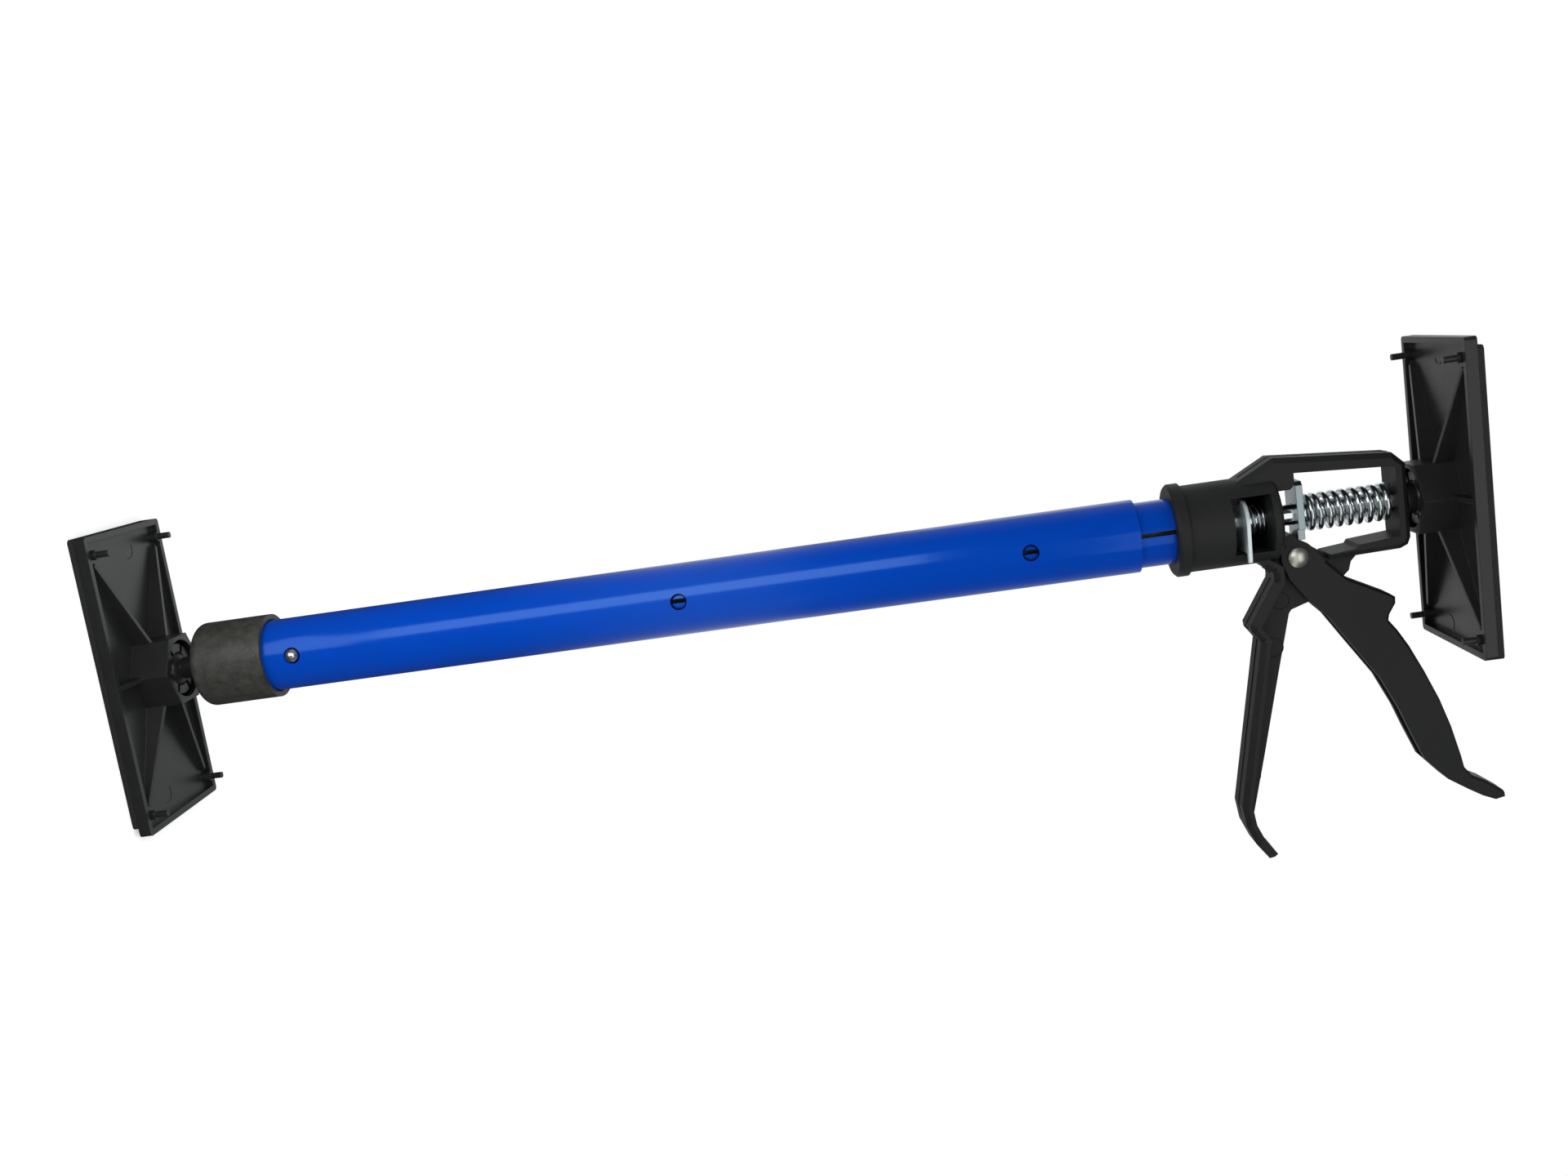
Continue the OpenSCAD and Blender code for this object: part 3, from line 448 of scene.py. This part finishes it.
# The grip body: one glass filled moulding with the sleeve, the open frame and the handle.
# Pin marks show on the handle's web, and the skin is satin.
grip_plastic = moulded(
    "grip_plastic", (0.0155, 0.0165, 0.0158),
    roughness=0.5, grain=1600, depth=0.00007, level=0.24,
)
dress("grip_body", grip_plastic)
web_face = -0.0024
ring_marks("handle_pin_marks", "grip", grip_plastic, [
    ((0.0323, web_face, 0.4475), (1, 0, 0), (0, 0, 1), 0.0033, 0, 360),
    ((0.05, web_face, 0.4434), (1, 0, 0), (0, 0, 1), 0.0037, 0, 360),
    ((0.1002, web_face, 0.4323), (1, 0, 0), (0, 0, 1), 0.0016, 0, 360),
])

# The mould's parting line runs as a thin dark line down the middle of the bar's back and of
# the handle's edge.
line_r = 0.0002
line_plastic = moulded(
    "line_plastic", (0.003, 0.003, 0.003), roughness=0.6, grain=1600, depth=0.00005, level=0.1
)


def parting_line(name, spots):
    """A thin dark line through spots of X and Z on the middle plane."""
    drawn = bpy.data.curves.new(name, "CURVE")
    drawn.dimensions = "3D"
    drawn.bevel_depth = line_r
    drawn.bevel_resolution = 1
    drawn.use_fill_caps = True
    path = drawn.splines.new("POLY")
    path.points.add(len(spots) - 1)
    for point, (x, z) in zip(path.points, spots):
        point.co = (x, 0, z, 1)
    mesh = bpy.data.meshes.new_from_object(bpy.data.objects.new(name + "_path", drawn))
    mesh.name = name
    mesh.materials.clear()
    mesh.materials.append(line_plastic)
    fit_piece(name, mesh, "grip")


parting_line("bar_parting_line", [
    (-0.0168, 0.4364), (-0.023, 0.4483), (-0.0189, 0.4919), (-0.0158, 0.495),
])
parting_line("handle_parting_line", [
    (0.0186, 0.4425), (0.021, 0.4451), (0.0225, 0.4455), (0.024, 0.4447), (0.0406, 0.434),
    (0.0463, 0.438), (0.111, 0.4249), (0.12, 0.4264), (0.129, 0.4307),
])

# The lips of the lock plate's slot on the sleeve's far side: thin walls that leave just the
# plate's own thickness open, so that no light falls into the sleeve from behind.
lip_in, lip_out, lip_steps = 0.0117, 0.0163, 24
lip_below, lip_above = (0.4303, 0.4339), (0.4369, 0.4373)
lip_start, lip_sweep = math.radians(40), math.radians(100)
lip_points, lip_faces, lip_corners = [], [], 4
for low, high in (lip_below, lip_above):
    base = len(lip_points)
    corners = ((lip_in, low), (lip_out, low), (lip_out, high), (lip_in, high))
    for i in range(lip_steps + 1):
        a = lip_start + lip_sweep * i / lip_steps
        lip_points += [(r * math.cos(a), r * math.sin(a), z) for r, z in corners]
    for i in range(lip_steps):
        here, ahead = base + lip_corners * i, base + lip_corners * (i + 1)
        for k in range(lip_corners):
            after = (k + 1) % lip_corners
            lip_faces.append((here + k, here + after, ahead + after, ahead + k))
    lip_faces.append((base + 3, base + 2, base + 1, base))
    last = base + lip_corners * lip_steps
    lip_faces.append((last, last + 1, last + 2, last + 3))
lips = bpy.data.meshes.new("slot_lips")
lips.from_pydata(lip_points, [], lip_faces)
lips.materials.append(grip_plastic)
fit_piece("slot_lips", lips, "grip")

# The trigger: a U shaped lever of black plastic, with two cheeks, a spine and a toe. It is
# moulded smoother than the grip and turns on the rivet.
trigger_plastic = moulded(
    "trigger_plastic", (0.0095, 0.0103, 0.0099),
    roughness=0.45, grain=2200, depth=0.00004, level=0.3,
)
dress("trigger", trigger_plastic)

# The pivot rivet: a bright steel pin through the trigger's cheeks and the grip, with a domed
# head closed over each cheek.
rivet_chrome = bright_metal("rivet_steel", (1, 0.98, 0.84), roughness=0.4, streak=0.01)
pivot, rivet_pin_r, rivet_seat = (0.0159, 0, 0.4549), 0.0018, 0.0053
rivet_head_r, rivet_head_h, rivet_rim = 0.0038, 0.0014, 0.0005
rivet_ball_r = (rivet_head_r ** 2 + rivet_head_h ** 2) / (2 * rivet_head_h)
rivet_top = rivet_seat + rivet_rim + rivet_head_h
rivet_head = [(rivet_head_r, rivet_seat), *dome(rivet_ball_r, rivet_head_r, rivet_top)]
rivet = turned(
    "domed_rivet", "grip", rivet_chrome,
    [
        *[(r, -h) for r, h in reversed(rivet_head)],
        (rivet_pin_r, -rivet_seat), (rivet_pin_r, rivet_seat), *rivet_head,
    ],
    pivot, (0, -1, 0),
)
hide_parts("pivot_rivet")

# The drive plate: punched steel plate with bright zinc plating, which tilts to grip the rod.
# The trigger's lugs push it up the rod.
zinc = bright_metal(
    "zinc_plate", (0.37, 0.44, 0.455), roughness=0.3, streak=0.06, round_r=0.0004
)
dress("drive_plate", zinc)


# The return spring: round steel wire with bright zinc, wound with closed ends. It sits round
# the rod in the open frame and pushes the drive plate back.
wire_sides, points_per_turn = 16, 40


def coil_tree():
    """Geometry Nodes that bend a straight line into a coil and give it round wire."""
    tree = bpy.data.node_groups.new("wound_wire", "GeometryNodeTree")
    tree.interface.new_socket(name="Geometry", in_out="OUTPUT", socket_type="NodeSocketGeometry")
    sizes = {}
    for title, kind in (
        ("Radius", "Float"), ("Wire Radius", "Float"), ("Low", "Float"), ("Turn Angle", "Float"),
        ("Closed Share", "Float"), ("Closed Rise", "Float"), ("Open Rise", "Float"),
        ("Points", "Int"), ("Finish", "Material"),
    ):
        made = tree.interface.new_socket(
            name=title, in_out="INPUT", socket_type="NodeSocket" + kind
        )
        sizes[title] = made.identifier
    given = tree.nodes.new("NodeGroupInput")
    line = tree.nodes.new("GeometryNodeCurvePrimitiveLine")
    points = tree.nodes.new("GeometryNodeResampleCurve")
    along = tree.nodes.new("GeometryNodeSplineParameter")

    def sum_of(kind, first, second=None):
        made = tree.nodes.new("ShaderNodeMath")
        made.operation = kind
        tree.links.new(first, made.inputs[0])
        if second is not None:
            tree.links.new(second, made.inputs[1])
        return made.outputs[0]

    def climb(start, end, rise):
        made = tree.nodes.new("ShaderNodeMapRange")
        tree.links.new(along.outputs["Factor"], made.inputs["Value"])
        for source, socket in ((start, "From Min"), (end, "From Max"), (rise, "To Max")):
            if source is not None:
                tree.links.new(source, made.inputs[socket])
        return made.outputs[0]

    angle = sum_of("MULTIPLY", along.outputs["Factor"], given.outputs["Turn Angle"])
    x = sum_of("MULTIPLY", sum_of("COSINE", angle), given.outputs["Radius"])
    y = sum_of("MULTIPLY", sum_of("SINE", angle), given.outputs["Radius"])
    last = tree.nodes.new("ShaderNodeMath")
    last.operation = "SUBTRACT"
    last.inputs[0].default_value = 1
    tree.links.new(given.outputs["Closed Share"], last.inputs[1])
    first_turn = climb(None, given.outputs["Closed Share"], given.outputs["Closed Rise"])
    open_turns = climb(given.outputs["Closed Share"], last.outputs[0], given.outputs["Open Rise"])
    last_turn = climb(last.outputs[0], None, given.outputs["Closed Rise"])
    lower = sum_of("ADD", first_turn, open_turns)
    z = sum_of("ADD", lower, sum_of("ADD", last_turn, given.outputs["Low"]))
    spot = tree.nodes.new("ShaderNodeCombineXYZ")
    wind = tree.nodes.new("GeometryNodeSetPosition")
    ring = tree.nodes.new("GeometryNodeCurvePrimitiveCircle")
    ring.inputs["Resolution"].default_value = wire_sides
    skin = tree.nodes.new("GeometryNodeCurveToMesh")
    skin.inputs["Fill Caps"].default_value = True
    smooth = tree.nodes.new("GeometryNodeSetShadeSmooth")
    real = tree.nodes.new("GeometryNodeRealizeInstances")
    finish = tree.nodes.new("GeometryNodeSetMaterial")
    result = tree.nodes.new("NodeGroupOutput")
    join(tree, (
        (given.outputs["Points"], points.inputs["Count"]),
        (line.outputs[0], points.inputs["Curve"]),
        (x, spot.inputs["X"]), (y, spot.inputs["Y"]), (z, spot.inputs["Z"]),
        (points.outputs[0], wind.inputs["Geometry"]),
        (spot.outputs[0], wind.inputs["Position"]),
        (given.outputs["Wire Radius"], ring.inputs["Radius"]),
        (wind.outputs[0], skin.inputs["Curve"]),
        (ring.outputs[0], skin.inputs["Profile Curve"]),
        (skin.outputs[0], smooth.inputs["Geometry"]),
        (smooth.outputs[0], real.inputs[0]),
        (real.outputs[0], finish.inputs["Geometry"]),
        (given.outputs["Finish"], finish.inputs["Material"]),
        (finish.outputs[0], result.inputs[0]),
    ))
    return tree, sizes


wound_wire, wire_sizes = coil_tree()
closed_gap = 1.06


def wind_spring(name, outer_d, wire, low, high, turns, closed, mat):
    """A spring between two heights, with closed turns at each end."""
    blank = bpy.data.objects.new(name, bpy.data.meshes.new(name))
    bpy.context.scene.collection.objects.link(blank)
    winder = blank.modifiers.new("winder", "NODES")
    winder.node_group = wound_wire
    closed_rise = closed * wire * closed_gap
    for title, value in (
        ("Radius", (outer_d - wire) / 2),
        ("Wire Radius", wire / 2),
        ("Low", low + wire / 2),
        ("Turn Angle", turns * 2 * math.pi),
        ("Closed Share", closed / turns),
        ("Closed Rise", closed_rise),
        ("Open Rise", high - low - wire - 2 * closed_rise),
        ("Points", int(turns * points_per_turn) + 1),
        ("Finish", mat),
    ):
        winder[wire_sizes[title]] = value
    bpy.context.view_layer.update()
    seen = blank.evaluated_get(bpy.context.evaluated_depsgraph_get())
    mesh = bpy.data.meshes.new_from_object(seen)
    mesh.name = name
    blank.modifiers.remove(winder)
    blank.data = mesh
    return blank


spring_zinc = bright_metal("spring_zinc", (0.86, 0.92, 0.95), roughness=0.18)
return_spring = wind_spring(
    "bright_return_spring", outer_d=0.0145, wire=0.0022, low=0.4584, high=0.492,
    turns=9.5, closed=1.25, mat=spring_zinc,
)
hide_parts("return_spring")
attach(return_spring, "grip")
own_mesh(return_spring)

# The lock plate: thin punched plate with two ears and a duller zinc plating. It rocks on the
# edge of the sleeve's slot and stops the rod from going back.
dull_zinc = bright_metal(
    "dull_zinc", (0.72, 0.82, 0.83), roughness=0.35, streak=0.06, round_r=0.0004
)
dull_zinc.node_tree.nodes["Principled BSDF"].inputs["Metallic"].default_value = 0.4
dress("lock_plate", dull_zinc)

# The lock spring: a short spring of thinner wire, with the same zinc. It sits round the rod
# between the lock plate and the sleeve's end wall.
lock_spring = wind_spring(
    "bright_lock_spring", outer_d=0.0116, wire=0.001, low=0.4367, high=0.4444,
    turns=4, closed=0.75, mat=spring_zinc,
)
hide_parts("lock_spring")
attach(lock_spring, "grip")
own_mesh(lock_spring)

# The push rod: drawn bright steel bar, smooth so that it slides through the plates. The part
# that is inside the tubes at rest is painted darker and duller, as painted shade of the tubes'
# inside.
bare_roughness = 0.11
rod_steel = bright_metal("rod_steel", (0.85, 0.9, 0.93), roughness=bare_roughness)
# Below this height the rod's colour, gloss and metal are painted shade of the tubes' inside.
shaded_below, unshaded_above = 0.42, 0.44
inside_shade_colour, inside_shade_metallic, inside_shade_roughness = (0.22, 0.23, 0.24, 1), 0.35, 0.45
tree = rod_steel.node_tree
skin = tree.nodes["Principled BSDF"]
bare_tint = skin.inputs["Base Color"].links[0].from_socket
place = add_node(tree, "ShaderNodeTexCoord")
height = add_node(tree, "ShaderNodeSeparateXYZ")
unshaded = add_node(tree, "ShaderNodeMapRange")
unshaded.inputs["From Min"].default_value = shaded_below
unshaded.inputs["From Max"].default_value = unshaded_above
# Painted shade: a darker colour on the part of the rod inside the tubes at rest.
inside_shade = add_node(tree, "ShaderNodeMix")
inside_shade.data_type = "RGBA"
inside_shade.inputs["A"].default_value = inside_shade_colour
sheen = add_node(tree, "ShaderNodeMapRange")
sheen.inputs["To Min"].default_value = inside_shade_metallic
blur = add_node(tree, "ShaderNodeMapRange")
blur.inputs["To Min"].default_value = inside_shade_roughness
blur.inputs["To Max"].default_value = bare_roughness
join(tree, (
    (place.outputs["Object"], height.inputs[0]),
    (height.outputs["Z"], unshaded.inputs["Value"]),
    (unshaded.outputs[0], inside_shade.inputs["Factor"]),
    (bare_tint, inside_shade.inputs["B"]),
    (inside_shade.outputs["Result"], skin.inputs["Base Color"]),
    (unshaded.outputs[0], sheen.inputs["Value"]),
    (sheen.outputs[0], skin.inputs["Metallic"]),
    (unshaded.outputs[0], blur.inputs["Value"]),
    (blur.outputs[0], skin.inputs["Roughness"]),
))
dress("push_rod", rod_steel)

# The rod guide: a plain plastic bush on the rod's hidden lower end. It guides the rod in the
# inner tube and stops it at full reach.
dress("rod_guide", ball_plastic)

# The head ball: the same smooth plastic as at the foot, pressed on the end of the rod, so
# that the head plate turns and tilts on it.
dress("head_ball", ball_plastic)

# The head plate: the same moulding as the foot plate, snapped over the head ball. The pins'
# round marks show on its floor too.
dress("head_plate", pad_plastic)
floor_down = 0.5138
ring_marks("head_pin_marks", "head_pad", pad_plastic, [
    ((-0.0518, 0.0005, floor_down), (1, 0, 0), (0, 1, 0), mark_r, -60, 70),
    ((0.0521, 0.0075, floor_down), (1, 0, 0), (0, 1, 0), mark_r, 170, 300),
    ((-0.0237, 0.0036, floor_down), (1, 0, 0), (0, 1, 0), mark_r / 2, 90, 240),
])

# The head sheet: the same flat rubber mat as at the foot, stuck to the back of the head
# plate, which grips the ceiling board.
dress("head_sheet", mat_rubber)
